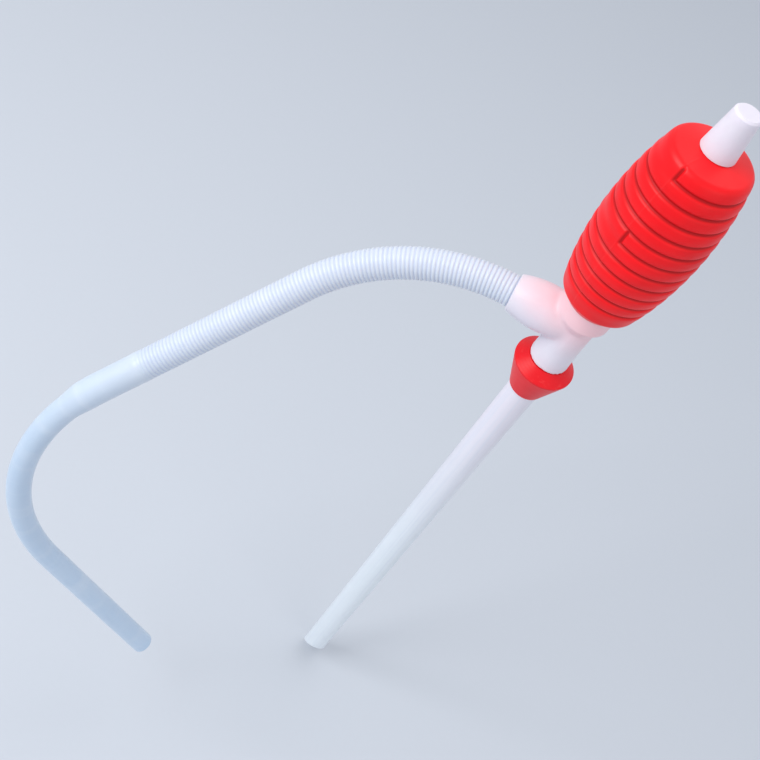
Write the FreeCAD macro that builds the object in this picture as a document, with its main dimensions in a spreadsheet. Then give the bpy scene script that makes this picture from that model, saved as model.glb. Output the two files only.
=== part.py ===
"""Hand siphon pump with a squeeze bulb, as a parametric FreeCAD document, in millimetres.

The pump's axis is Z, up. The origin lies on that axis where the bare length of the pick-up pipe
begins, at the lower face of the container adapter. The side branch and its hose leave towards -X.
"""
import FreeCAD, Part
import math
import os

import Sketcher

NAME = 0
NUMBER = 1
MEANING = 2

SIZES = (
    ("pipe_radius", 9.5, "outside radius of the pick-up pipe"),
    ("pipe_wall", 1.5, "wall of the pick-up pipe"),
    ("pipe_bare_length", 435, "bare length of the pipe below the origin, on its axis"),
    ("pipe_end_angle", 50, "slant of the pipe's lower end, in degrees"),
    ("pipe_end_turn", 13, "turn of that slant's open side from -Y towards +X, in degrees"),
    ("adapter_gap", 0.1, "clearance between the adapter's lips and the pipe"),
    ("adapter_foot_wall", 1.3, "wall of the adapter at its lower end"),
    ("adapter_flare", 7.7, "growth in radius from the adapter's foot to its rim"),
    ("adapter_rim_height", 23.8, "height of the rim above the adapter's foot"),
    ("adapter_rim_land", 1, "height of the upright face round the rim"),
    ("adapter_top_wall", 2.6, "wall of the adapter at the top of its low cone"),
    ("adapter_top_height", 5.4, "height of the low top cone above the rim"),
    ("adapter_lip", 3.5, "height of each lip that guides the adapter on the pipe"),
    ("adapter_relief", 1.6, "depth of the relief between the adapter's lips"),
    ("adapter_headroom", 0.5, "gap between the adapter's top and the tee"),
    ("socket_wall", 2.6, "wall of the tee's pipe socket at its mouth"),
    ("socket_depth", 16, "depth that the pipe goes into the tee"),
    ("barrel_wall", 2, "wall of the tee's barrel round the inlet valve"),
    ("collar_rise", 9.4, "height of the collar's lower edge above the side branch's root"),
    ("collar_height", 11.8, "height of the collar"),
    ("collar_flare", 7, "height of the flare between the barrel and the collar"),
    ("collar_step", 1.8, "width of the collar's ledge under the bulb"),
    ("spigot_radius", 13.6, "radius of the spigot that holds the bulb's lip"),
    ("spigot_wall", 2.6, "wall of the spigot"),
    ("spigot_height", 13, "height of the spigot above the collar"),
    ("bead_width", 1.2, "width of the bead that keeps the bulb's lip down"),
    ("bead_height", 3, "height of that bead"),
    ("stop_ledge", 1.5, "width of the ledge that each valve stops against"),
    ("mouth_depth", 20, "depth of the wide passage in the spigot"),
    ("branch_rise", 7.8, "height of the branch's root above the inlet valve"),
    ("branch_tilt", 6, "fall of the side branch, in degrees"),
    ("branch_root_wall", 1, "wall of the branch at the pump's axis"),
    ("branch_end_wall", 1.3, "wall of the branch at its mouth"),
    ("branch_belly", 3.3, "how far the branch swells over its two ends"),
    ("seat_thickness", 2.5, "thickness of a valve seat"),
    ("seat_lap", 1.7, "width that a valve disc laps its seat"),
    ("branch_stub", 2.5, "distance from the inlet valve's bore to the outlet valve's seat"),
    ("disc_gap", 1.1, "clearance round a valve disc"),
    ("disc_thickness", 1.5, "thickness of a valve disc"),
    ("stem_radius", 1.5, "radius of a valve disc's stem"),
    ("stem_gap", 0.08, "clearance round that stem"),
    ("valve_lift", 2.5, "room that a valve disc has over its seat"),
    ("cage_spider", 2, "thickness of a valve cage's spokes and hub"),
    ("cage_wall", 1.2, "wall of a valve cage's skirt"),
    ("cage_hub_wall", 1.6, "wall of a valve cage's hub"),
    ("cage_spoke_width", 2, "width of a valve cage's spoke"),
    ("hose_radius", 9.5, "outside radius of the hose"),
    ("hose_gap", 3.5, "room between the outlet valve and the hose's inner end"),
    ("hose_grip", 14.5, "length of hose inside the side branch"),
    ("hose_first_run", 82, "distance from the hose's inner end to its first corner"),
    ("hose_bend_radius", 130, "radius of the hose's two bends, on its centreline"),
    ("bulb_wall", 2, "wall of the bulb"),
    ("bulb_lip_height", 4, "height of the lip at the bulb's foot"),
    ("bulb_foot_edge", 0.8, "width of the bulb's foot outside the collar"),
    ("bulb_foot_height", 6.8, "height of the slope between the foot and the barrel"),
    ("bulb_end_radius", 22.4, "outside radius of the bulb's barrel at its two ends"),
    ("bulb_belly", 6, "how far the bulb's barrel swells over its ends"),
    ("bulb_barrel_length", 102.6, "length of the bulb's barrel"),
    ("bulb_rim", 1.8, "size of the bevel round the bulb's top rim"),
    ("bulb_shoulder_height", 2.6, "rise of the bulb's shoulder inside that rim"),
    ("bulb_neck_radius", 5.2, "outside radius of the bulb's vent neck"),
    ("bulb_neck_height", 18, "height of the vent neck"),
    ("groove_radius", 0.9, "radius of the round grooves round the bulb"),
    ("groove_link_radius", 0.75, "radius of the upright grooves that close a rib at a short groove's end"),
    ("groove_foot_margin", 11.7, "height of the lowest groove above the barrel's foot"),
    ("groove_top_margin", 6.2, "distance of the highest groove below the barrel's top"),
    ("parting_angle", 30.5, "turn of the bulb's mould parting line from -Y towards -X, in degrees"),
    ("panel_margin", 3, "angle between a short groove's end and the parting line, in degrees"),
    ("cap_gap", 0.4, "clearance between the vent cap and the neck"),
    ("cap_wall", 1.4, "wall of the vent cap at its top"),
    ("cap_taper", 2.5, "growth in radius from the vent cap's top to its foot"),
    ("cap_height", 24, "height of the vent cap"),
    ("cap_edge", 1, "bevel round the vent cap's top"),
    ("cap_foot_gap", 0.3, "gap between the vent cap's foot and the bulb's shoulder"),
    ("cap_seal_thickness", 1.6, "thickness of the vent cap's seal"),
    ("cap_seal_gap", 0.3, "clearance round and over the seal"),
)

GROOVES = 11
SHORT_GROOVES = (6, 11)
SPOKES = 3
FULL_TURN = 360
RIGHT_ANGLE = 90
HALF = 0.5
OVERRUN = 1
TINY = 1e-9
LEVEL_AXIS = -1
UPRIGHT_AXIS = -2

# The hose runs straight, bends, runs straight, bends and runs straight to its open end. The first run lies
# along the side branch. These are the corner that the second bend rounds off and the open end, in millimetres.
HOSE_CORNER = (-276, -155, -173)
HOSE_END = (-124, -113, -361)


class Size:
    """A length or an angle that carries its number and the sheet's expression for it."""

    def __init__(self, number, text):
        self.number = number
        self.text = text

    def __add__(self, other):
        other = size(other)
        return Size(self.number + other.number, "(%s + %s)" % (self.text, other.text))

    def __sub__(self, other):
        other = size(other)
        return Size(self.number - other.number, "(%s - %s)" % (self.text, other.text))

    def __mul__(self, other):
        other = size(other)
        return Size(self.number * other.number, "(%s * %s)" % (self.text, other.text))

    def __truediv__(self, other):
        other = size(other)
        return Size(self.number / other.number, "(%s / %s)" % (self.text, other.text))

    __radd__ = __add__
    __rmul__ = __mul__

    def __rsub__(self, other):
        return size(other) - self

    def __neg__(self):
        return size(0) - self

    def root(self):
        return Size(math.sqrt(self.number), "sqrt(%s)" % self.text)


def size(value):
    """A Size as it is, or a plain number as a Size."""
    return value if isinstance(value, Size) else Size(value, repr(value))


doc = FreeCAD.newDocument("SiphonPump")
sheet = doc.addObject("Spreadsheet::Sheet", "Sizes")
nodes = {}


def fill_sheet():
    """Write every driving size into the sheet and return them all as Size objects by name."""
    found = {}
    for row, entry in enumerate(SIZES, start=1):
        sheet.set("A%d" % row, entry[MEANING])
        sheet.set("B%d" % row, str(entry[NUMBER]))
        sheet.setAlias("B%d" % row, entry[NAME])
        found[entry[NAME]] = Size(entry[NUMBER], "Sizes.%s" % entry[NAME])
    doc.recompute()
    return found


S = fill_sheet()


def bind(thing, name, value):
    """Bind one property of a document object to the sheet."""
    thing.setExpression(name, size(value).text)


def arc_radius(half_chord, rise):
    """The radius of the arc that rises by rise over the middle of a chord."""
    return (half_chord * half_chord + rise * rise) / (2 * rise)


def hold(sketch, kind, segment, end, axis_line, value):
    """Hold one end of a segment at a signed distance from the sketch's origin, or on its axis."""
    if abs(value.number) < TINY:
        sketch.addConstraint(Sketcher.Constraint("PointOnObject", segment, end, axis_line))
        return
    origin = (-1, 1)
    held = Sketcher.Constraint(kind, *origin, segment, end, value.number)
    index = sketch.addConstraint(held)
    sketch.setExpression("Constraints[%d]" % index, value.text)


def draw_side(sketch, corner, after):
    """Add one side of an outline and return it with the numbers of its first and last ends."""
    start, stop = [FreeCAD.Vector(one[0].number, one[1].number, 0) for one in (corner, after)]
    if len(corner) == 2:
        return sketch.addGeometry(Part.LineSegment(start, stop)), 1, 2
    rise = corner[2]
    climb = after[1] - corner[1]
    drift = after[0] - corner[0]
    radius = arc_radius((climb * climb + drift * drift).root() * HALF, rise)
    outward = FreeCAD.Vector(climb.number, -drift.number, 0)
    outward.normalize()
    via = (start + stop) * HALF + outward * rise.number
    index = sketch.addGeometry(Part.Arc(start, via, stop))
    held = sketch.addConstraint(Sketcher.Constraint("Radius", index, radius.number))
    sketch.setExpression("Constraints[%d]" % held, radius.text)
    return index, 1, 2


def turned(name, outline):
    """A PartDesign body turned about Z from a closed outline.

    Each corner of the outline is (radius, height), or (radius, height, rise) where the side up to
    the next corner is an arc that swells outwards by that much from its chord.
    """
    body = doc.addObject("PartDesign::Body", name)
    sketch = body.newObject("Sketcher::SketchObject", name + "_outline")
    plane = [one for one in body.Origin.OriginFeatures if one.Role == "XZ_Plane"][0]
    sketch.AttachmentSupport = (plane, [""])
    sketch.MapMode = "FlatFace"
    corners = [tuple(size(value) for value in corner) for corner in outline]
    sides = [draw_side(sketch, *pair) for pair in zip(corners, corners[1:] + corners[:1])]
    for (index, first, last), (following, next_first, _) in zip(sides, sides[1:] + sides[:1]):
        sketch.addConstraint(Sketcher.Constraint("Coincident", index, last, following, next_first))
    for (index, first, last), corner in zip(sides, corners):
        hold(sketch, "DistanceX", index, first, UPRIGHT_AXIS, corner[0])
        hold(sketch, "DistanceY", index, first, LEVEL_AXIS, corner[1])
    turn = body.newObject("PartDesign::Revolution", name + "_turn")
    turn.Profile = sketch
    turn.ReferenceAxis = (sketch, ["V_Axis"])
    turn.Angle = FULL_TURN
    return body


def cylinder(name, radius, low, high):
    """A Part cylinder on the Z axis between two heights."""
    made = doc.addObject("Part::Cylinder", name)
    bind(made, "Radius", radius)
    bind(made, "Height", size(high) - low)
    bind(made, "Placement.Base.z", low)
    return made


def fused(name, pieces):
    made = doc.addObject("Part::MultiFuse", name)
    made.Shapes = pieces
    return made


def cut(name, base, tool):
    made = doc.addObject("Part::Cut", name)
    made.Base = base
    made.Tool = tool
    return made


def slope_angle(growth, rise):
    """The angle of a slope in degrees."""
    number = math.degrees(math.atan(growth.number / rise.number))
    return Size(number, "atan(%s / %s)" % (growth.text, rise.text))


def spun(name, thing, angle):
    """A piece turned about the pump's axis."""
    turned_piece = doc.addObject("Part::Compound", name)
    turned_piece.Links = [thing]
    turn = FreeCAD.Rotation(FreeCAD.Vector(0, 0, 1), 1)
    turned_piece.Placement = FreeCAD.Placement(FreeCAD.Vector(0, 0, 0), turn)
    bind(turned_piece, "Placement.Rotation.Angle", angle)
    return turned_piece


def on_branch(thing):
    """Lay a piece that was made along +Z on the side branch's axis."""
    turn = FreeCAD.Rotation(FreeCAD.Vector(0, -1, 0), RIGHT_ANGLE)
    thing.Placement = FreeCAD.Placement(FreeCAD.Vector(0, 0, 0), turn)
    bind(thing, "Placement.Base.z", branch_level)
    bind(thing, "Placement.Rotation.Angle", RIGHT_ANGLE + S["branch_tilt"])
    return thing


def upright(thing):
    """Leave a piece that was made along +Z on the pump's axis."""
    return thing


def node(name, thing):
    """Keep a finished piece under the name of its file."""
    thing.Label = name
    nodes[name] = thing
    return thing


# Radii that fit one piece to another.
pipe_bore = S["pipe_radius"] - S["pipe_wall"]
valve_bore = S["pipe_radius"]
adapter_bore = S["pipe_radius"] + S["adapter_gap"]
adapter_foot_radius = adapter_bore + S["adapter_foot_wall"]
adapter_rim_radius = adapter_foot_radius + S["adapter_flare"]
throat_radius = valve_bore - S["stop_ledge"]
mouth_radius = S["spigot_radius"] - S["spigot_wall"]
collar_radius = S["spigot_radius"] + S["collar_step"]
barrel_radius = valve_bore + S["barrel_wall"]
skirt_bore = valve_bore - S["cage_wall"]
disc_radius = skirt_bore - S["disc_gap"]
bulb_foot_radius = collar_radius + S["bulb_foot_edge"]
neck_bore = S["bulb_neck_radius"] - S["bulb_wall"]
cap_bore = S["bulb_neck_radius"] + S["cap_gap"]
cap_top_radius = cap_bore + S["cap_wall"]
cap_foot_radius = cap_top_radius + S["cap_taper"]

# Heights on the pump's axis, and distances along the branch's, that several pieces share.
adapter_top = S["adapter_rim_height"] + S["adapter_top_height"]
socket_mouth = adapter_top + S["adapter_headroom"]
pipe_top = socket_mouth + S["socket_depth"]
valve_height = S["seat_thickness"] + S["disc_thickness"] + S["valve_lift"] + S["cage_spider"]
inlet_stop = pipe_top + valve_height
branch_level = inlet_stop + S["branch_rise"]
outlet_seat_place = valve_bore + S["branch_stub"]
outlet_valve_end = outlet_seat_place + valve_height
hose_start = outlet_valve_end + S["hose_gap"]
branch_length = hose_start + S["hose_grip"]
collar_foot = branch_level + S["collar_rise"]
collar_top = collar_foot + S["collar_height"]
spigot_top = collar_top + S["spigot_height"]
bulb_lip_top = collar_top + S["bulb_lip_height"]
barrel_foot = collar_top + S["bulb_foot_height"]
barrel_top = barrel_foot + S["bulb_barrel_length"]
rim_top = barrel_top + S["bulb_rim"]
shoulder_top = rim_top + S["bulb_shoulder_height"]
neck_top = shoulder_top + S["bulb_neck_height"]
rim_radius = S["bulb_end_radius"] - S["bulb_rim"]


def pickup_pipe():
    """The straight pick-up pipe, with its lower end cut at a slant."""
    reach = S["pipe_radius"] * 2
    foot = -S["pipe_bare_length"] - reach
    wall = cylinder("pipe_wall_solid", S["pipe_radius"], foot, pipe_top)
    bore = cylinder("pipe_bore", pipe_bore, foot - OVERRUN, pipe_top + OVERRUN)
    tube = cut("pipe_tube", wall, bore)
    slant = doc.addObject("Part::Box", "pipe_slant")
    for side in ("Length", "Width", "Height"):
        bind(slant, side, S["pipe_radius"] * 8)
    hinge = doc.addObject("Part::Compound", "pipe_slant_hinge")
    hinge.Links = [slant]
    bind(slant, "Placement.Base.x", S["pipe_radius"] * -4)
    bind(slant, "Placement.Base.y", S["pipe_radius"] * -4)
    bind(slant, "Placement.Base.z", S["pipe_radius"] * -8)
    lean = FreeCAD.Rotation(FreeCAD.Vector(-1, 0, 0), 1)
    hinge.Placement = FreeCAD.Placement(FreeCAD.Vector(0, 0, 0), lean)
    bind(hinge, "Placement.Base.z", -S["pipe_bare_length"])
    bind(hinge, "Placement.Rotation.Angle", S["pipe_end_angle"])
    return node("pickup_pipe", cut("pipe_cut_end", tube, spun("pipe_slant_turn", hinge, S["pipe_end_turn"])))


def container_adapter():
    """The tapered plug that slides on the pipe and closes a container's mouth round it."""
    relief = adapter_bore + S["adapter_relief"]
    upper_lip = adapter_top - S["adapter_lip"]
    outline = [
        (adapter_bore, 0),
        (adapter_foot_radius, 0),
        (adapter_rim_radius, S["adapter_rim_height"] - S["adapter_rim_land"]),
        (adapter_rim_radius, S["adapter_rim_height"]),
        (adapter_bore + S["adapter_top_wall"], adapter_top),
        (adapter_bore, adapter_top),
        (adapter_bore, upper_lip),
        (relief, upper_lip - S["adapter_relief"]),
        (relief, S["adapter_lip"] + S["adapter_relief"] * 3),
        (adapter_bore, S["adapter_lip"]),
    ]
    return node("container_adapter", turned("adapter", outline))


def tee_body():
    """The moulded tee: pipe socket below, collar and spigot above, swelling branch at the side."""
    bead_foot = bulb_lip_top
    bead_top = bead_foot + S["bead_height"]
    bead_radius = S["spigot_radius"] + S["bead_width"]
    barrel = turned("tee_barrel", [
        (0, socket_mouth),
        (S["pipe_radius"] + S["socket_wall"], socket_mouth),
        (barrel_radius, pipe_top),
        (barrel_radius, collar_foot - S["collar_flare"]),
        (collar_radius, collar_foot),
        (collar_radius, collar_top),
        (S["spigot_radius"], collar_top),
        (S["spigot_radius"], bead_foot),
        (bead_radius, bead_foot),
        (S["spigot_radius"], bead_top),
        (S["spigot_radius"], spigot_top),
        (0, spigot_top),
    ])
    branch = on_branch(turned("tee_branch", [
        (0, 0),
        (valve_bore + S["branch_root_wall"], 0, S["branch_belly"]),
        (S["hose_radius"] + S["branch_end_wall"], branch_length),
        (0, branch_length),
    ]))
    wide_foot = spigot_top - S["mouth_depth"]
    passage = fused("tee_passage", [
        cylinder("tee_pipe_socket", S["pipe_radius"], socket_mouth - OVERRUN, pipe_top),
        cylinder("tee_inlet_bore", valve_bore, pipe_top, inlet_stop),
        cylinder("tee_throat", throat_radius, inlet_stop, wide_foot),
        cylinder("tee_spigot_bore", mouth_radius, wide_foot, spigot_top + OVERRUN),
    ])
    side_passage = on_branch(fused("tee_side_passage", [
        cylinder("tee_side_throat", throat_radius, 0, outlet_seat_place),
        cylinder("tee_outlet_bore", valve_bore, outlet_seat_place, outlet_valve_end),
        cylinder("tee_hose_socket", S["hose_radius"], outlet_valve_end, branch_length + OVERRUN),
    ]))
    outside = fused("tee_outside", [barrel, branch])
    inside = fused("tee_inside", [passage, side_passage])
    return node("tee_body", cut("tee", outside, inside))


def check_valve(side, foot, placed):
    """One valve, made along +Z from foot: a seat ring, a disc with a stem, and the stem's cage."""
    face = foot + S["seat_thickness"]
    disc_top = face + S["disc_thickness"]
    spider_foot = disc_top + S["valve_lift"]
    top = spider_foot + S["cage_spider"]
    hole = disc_radius - S["seat_lap"]
    seat = turned(side + "_seat", [
        (hole, foot),
        (valve_bore, foot),
        (valve_bore, face),
        (hole, face),
    ])
    disc = turned(side + "_disc", [
        (0, face),
        (disc_radius, face),
        (disc_radius, disc_top),
        (S["stem_radius"], disc_top),
        (S["stem_radius"], top),
        (0, top),
    ])
    skirt = turned(side + "_skirt", [
        (skirt_bore, face),
        (valve_bore, face),
        (valve_bore, top),
        (skirt_bore, top),
    ])
    spokes = []
    for count in range(SPOKES):
        spoke = doc.addObject("Part::Box", "%s_spoke_%d" % (side, count + 1))
        bind(spoke, "Length", skirt_bore + S["cage_wall"] * HALF)
        bind(spoke, "Width", S["cage_spoke_width"])
        bind(spoke, "Height", S["cage_spider"])
        bind(spoke, "Placement.Base.y", S["cage_spoke_width"] * -HALF)
        bind(spoke, "Placement.Base.z", spider_foot)
        arm = doc.addObject("Part::Compound", "%s_arm_%d" % (side, count + 1))
        arm.Links = [spoke]
        turn = FreeCAD.Rotation(FreeCAD.Vector(0, 0, 1), FULL_TURN * count / SPOKES)
        arm.Placement = FreeCAD.Placement(FreeCAD.Vector(0, 0, 0), turn)
        spokes.append(arm)
    guide_radius = S["stem_radius"] + S["stem_gap"]
    hub = cylinder(side + "_hub", guide_radius + S["cage_hub_wall"], spider_foot, top)
    guide = cylinder(side + "_guide", guide_radius, spider_foot - OVERRUN, top + OVERRUN)
    cage = cut(side + "_cage", fused(side + "_spider", [skirt, hub] + spokes), guide)
    for part_name, thing in (("seat", seat), ("disc", disc), ("cage", cage)):
        node("%s_valve_%s" % (side, part_name), placed(thing))


def squeeze_bulb():
    """The hollow bulb, with a lip below, round grooves round its barrel and a vent neck on top."""
    wall = S["bulb_wall"]
    outside = turned("bulb_outside", [
        (0, collar_top),
        (bulb_foot_radius, collar_top),
        (S["bulb_end_radius"], barrel_foot, S["bulb_belly"]),
        (S["bulb_end_radius"], barrel_top),
        (rim_radius, rim_top),
        (cap_foot_radius, shoulder_top),
        (S["bulb_neck_radius"], shoulder_top),
        (S["bulb_neck_radius"], neck_top),
        (0, neck_top),
    ])
    inside_radius = S["bulb_end_radius"] - wall
    inside = turned("bulb_inside", [
        (0, bulb_lip_top),
        (bulb_foot_radius, bulb_lip_top),
        (inside_radius, barrel_foot + wall * HALF, S["bulb_belly"]),
        (inside_radius, barrel_top - wall * HALF),
        (rim_radius - wall, rim_top - wall),
        (cap_foot_radius - wall, shoulder_top - wall),
        (neck_bore, shoulder_top - wall),
        (neck_bore, neck_top + OVERRUN),
        (0, neck_top + OVERRUN),
    ])
    lip_bore = cylinder("bulb_lip_bore", S["spigot_radius"], collar_top - OVERRUN, bulb_lip_top + OVERRUN)
    grooves = []
    half = S["bulb_barrel_length"] * HALF
    swing = arc_radius(half, S["bulb_belly"])
    ends = S["bulb_end_radius"] + S["bulb_belly"] - swing

    def radius_at(level):
        offset = level - half
        return (swing * swing - offset * offset).root() + ends

    grooved = S["bulb_barrel_length"] - S["groove_foot_margin"] - S["groove_top_margin"]
    pitch = grooved / (GROOVES - 1)
    start = -RIGHT_ANGLE - S["parting_angle"] + S["panel_margin"]
    sweep = FULL_TURN * HALF - S["panel_margin"] * 2
    for count in range(GROOVES):
        name = "bulb_groove_%d" % (count + 1)
        level = S["groove_foot_margin"] + pitch * count
        groove = doc.addObject("Part::Torus", name)
        bind(groove, "Radius1", radius_at(level))
        bind(groove, "Radius2", S["groove_radius"])
        bind(groove, "Placement.Base.z", barrel_foot + level)
        if count + 1 not in SHORT_GROOVES:
            grooves.append(groove)
            continue
        bind(groove, "Angle3", sweep)
        grooves.append(spun(name + "_turn", groove, start))
        upper = S["bulb_barrel_length"] if count + 1 == GROOVES else level + pitch
        rise = upper - level
        growth = radius_at(upper) - radius_at(level)
        for end, turn in (("first", start), ("last", start + sweep)):
            link = doc.addObject("Part::Cylinder", "%s_%s_link" % (name, end))
            bind(link, "Radius", S["groove_link_radius"])
            bind(link, "Height", (rise * rise + growth * growth).root())
            lean = FreeCAD.Rotation(FreeCAD.Vector(0, 1, 0), 1)
            link.Placement = FreeCAD.Placement(FreeCAD.Vector(0, 0, 0), lean)
            bind(link, "Placement.Base.x", radius_at(level))
            bind(link, "Placement.Base.z", barrel_foot + level)
            bind(link, "Placement.Rotation.Angle", slope_angle(growth, rise))
            grooves.append(spun("%s_%s_link_turn" % (name, end), link, turn))
    hollow = fused("bulb_hollow", [inside, lip_bore])
    shell = cut("bulb_shell", outside, hollow)
    return node("squeeze_bulb", cut("bulb", shell, fused("bulb_grooves", grooves)))


def vent_cap():
    """The tapered screw cap on the vent neck, and the seal that it presses on the neck's top."""
    foot = shoulder_top + S["cap_foot_gap"]
    top = foot + S["cap_height"]
    seal_top = neck_top + S["cap_seal_thickness"]
    node("vent_cap", turned("cap", [
        (cap_bore, foot),
        (cap_foot_radius, foot),
        (cap_top_radius, top - S["cap_edge"]),
        (cap_top_radius - S["cap_edge"], top),
        (0, top),
        (0, seal_top + S["cap_seal_gap"]),
        (cap_bore, seal_top + S["cap_seal_gap"]),
    ]))
    seal_radius = cap_bore - S["cap_seal_gap"]
    node("vent_cap_seal", cylinder("cap_seal", seal_radius, neck_top, seal_top))


def hose_points():
    """The hose's inner end, its two corners and its open end. The first run leaves along the side branch."""
    fall = math.radians(S["branch_tilt"].number)
    along = FreeCAD.Vector(-math.cos(fall), 0, -math.sin(fall))
    root = FreeCAD.Vector(0, 0, branch_level.number) + along * hose_start.number
    first_corner = root + along * S["hose_first_run"].number
    return [root, first_corner, FreeCAD.Vector(*HOSE_CORNER), FreeCAD.Vector(*HOSE_END)]


def rounded_path(points, radius):
    """Straight runs joined by tangent arcs of one radius, as edges."""
    edges = []
    last = points[0]
    for before, corner, after in zip(points, points[1:], points[2:]):
        come = corner - before
        leave = after - corner
        half_turn = come.getAngle(leave) / 2
        setback = radius * math.tan(half_turn)
        come.normalize()
        leave.normalize()
        start = corner - come * setback
        stop = corner + leave * setback
        inward = leave - come
        inward.normalize()
        centre = corner + inward * (radius / math.cos(half_turn))
        via = centre - inward * radius
        edges.append(Part.LineSegment(last, start).toShape())
        edges.append(Part.Arc(start, via, stop).toShape())
        last = stop
    edges.append(Part.LineSegment(last, points[-1]).toShape())
    return edges


def discharge_hose():
    """The hose as one plain round solid along its route."""
    points = hose_points()
    path = Part.Wire(rounded_path(points, S["hose_bend_radius"].number))
    radius = S["hose_radius"].number
    ring = Part.Circle(points[0], points[1] - points[0], radius)
    section = Part.Wire([ring.toShape()])
    solid = path.makePipeShell([section], True, False)
    expected = math.pi * radius * radius * path.Length
    print("hose length %.1f" % path.Length)
    print("hose volume %.0f, section times length %.0f" % (solid.Volume, expected))
    made = doc.addObject("Part::Feature", "hose")
    made.Shape = solid
    return node("discharge_hose", made)


def export():
    """Check every object and every node's shape, then write the STEP files."""
    doc.recompute()
    for thing in doc.Objects:
        if "Invalid" in thing.State or "Error" in thing.State:
            raise RuntimeError("%s failed: %s" % (thing.Name, thing.State))
    os.makedirs("parts", exist_ok=True)
    for name, thing in nodes.items():
        shape = thing.Shape
        if shape.isNull() or not shape.isValid() or len(shape.Solids) != 1:
            raise RuntimeError("%s has no single valid solid" % name)
        box = shape.BoundBox
        print("%-20s volume %9.1f  z %8.2f to %8.2f" % (name, shape.Volume, box.ZMin, box.ZMax))
    for name, thing in nodes.items():
        thing.Shape.exportStep("parts/%s.step" % name)


tee_body()
pickup_pipe()
container_adapter()
check_valve("inlet", pipe_top, upright)
check_valve("outlet", outlet_seat_place, on_branch)
squeeze_bulb()
vent_cap()
discharge_hose()
export()
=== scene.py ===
"""Looks of a hand siphon pump.

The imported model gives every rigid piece. This script lays out the soft pieces, which are the squeeze bulb and
the discharge hose, softens the moulded tee, gives every piece its finish and sets up the stage.
"""

import math

import bpy
import numpy as np
from mathutils import Matrix, Vector


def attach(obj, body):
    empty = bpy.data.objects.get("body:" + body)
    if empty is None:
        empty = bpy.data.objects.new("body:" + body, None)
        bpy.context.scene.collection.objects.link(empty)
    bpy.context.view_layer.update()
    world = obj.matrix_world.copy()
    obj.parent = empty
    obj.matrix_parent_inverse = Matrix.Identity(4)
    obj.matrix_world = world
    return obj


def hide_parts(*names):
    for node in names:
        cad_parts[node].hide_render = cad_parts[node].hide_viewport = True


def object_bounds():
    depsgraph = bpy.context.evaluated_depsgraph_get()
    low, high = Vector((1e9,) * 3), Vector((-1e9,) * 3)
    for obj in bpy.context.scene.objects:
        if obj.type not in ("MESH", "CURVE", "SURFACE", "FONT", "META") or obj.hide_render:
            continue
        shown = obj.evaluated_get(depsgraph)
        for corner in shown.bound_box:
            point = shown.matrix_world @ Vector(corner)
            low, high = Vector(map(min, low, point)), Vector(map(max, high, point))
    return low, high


bl_info = {
    "name": "Hand Siphon Pump Looks",
    "version": (1, 0, 0),
    "blender": (4, 5, 0),
    "location": "3D View > Sidebar > Siphon Pump",
    "description": "Squeeze bulb, discharge hose, finishes and stage for a hand siphon pump",
    "category": "Add Mesh",
}

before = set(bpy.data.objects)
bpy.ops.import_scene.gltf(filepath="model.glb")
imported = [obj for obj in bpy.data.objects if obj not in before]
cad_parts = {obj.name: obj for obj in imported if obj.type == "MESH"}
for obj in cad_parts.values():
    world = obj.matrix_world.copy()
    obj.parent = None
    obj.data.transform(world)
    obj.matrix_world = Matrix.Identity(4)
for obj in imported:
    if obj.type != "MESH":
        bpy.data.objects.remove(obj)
CAD_BOX = [list(corner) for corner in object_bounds()]

MM = 0.001

# Grooves that stop beside the parting line, counted from the foot.
SHORT_GROOVES = (6, 11)

# Gaps between the bulb's rows of points: in a groove, on the barrel, and on its ends.
GROOVE_GAP, BARREL_GAP, END_GAP = 0.00032, 0.0008, 0.0006

# Columns of points round the bulb and round the hose.
BULB_COLUMNS, HOSE_COLUMNS = 256, 56

# The outside of the CAD tee near the crease between its side branch and its barrel, in metres: the branch's
# fall in degrees, the height of its root, its length, its radius at both ends and how far it swells between
# them, and the barrel's radius at each height.
BRANCH_FALL, BRANCH_ROOT, BRANCH_LENGTH = 6, 0.062, 0.0385
BRANCH_RADIUS, BRANCH_BELLY = 0.0105, 0.0033
BARREL_HEIGHTS = (0.0297, 0.0457, 0.0644, 0.0714, 0.09)
BARREL_RADII = (0.0121, 0.0115, 0.0115, 0.0154, 0.0154)

# Points of the tee nearer than this to the barrel's axis, or to the branch's, are in its passages.
BARREL_CORE, BRANCH_CORE = 0.0109, 0.0101
COLLAR_FOOT = 0.08
SMOOTHINGS = 60


# Sizes and colours that a user would change.


def length(name, description, default, **more):
    """A size in metres."""
    return bpy.props.FloatProperty(
        name=name, description=description, default=default, unit="LENGTH", precision=5, min=0, **more
    )


def angle(name, description, degrees):
    """An angle, shown in degrees."""
    return bpy.props.FloatProperty(
        name=name, description=description, default=math.radians(degrees), unit="ROTATION"
    )


def spot(name, description, default):
    """A property for a point in metres."""
    return bpy.props.FloatVectorProperty(
        name=name, description=description, default=default, subtype="TRANSLATION", size=3, precision=5
    )


def colour(name, description, default):
    """A linear colour."""
    return bpy.props.FloatVectorProperty(
        name=name, description=description, default=default, subtype="COLOR", size=3, min=0, max=1
    )


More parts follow.
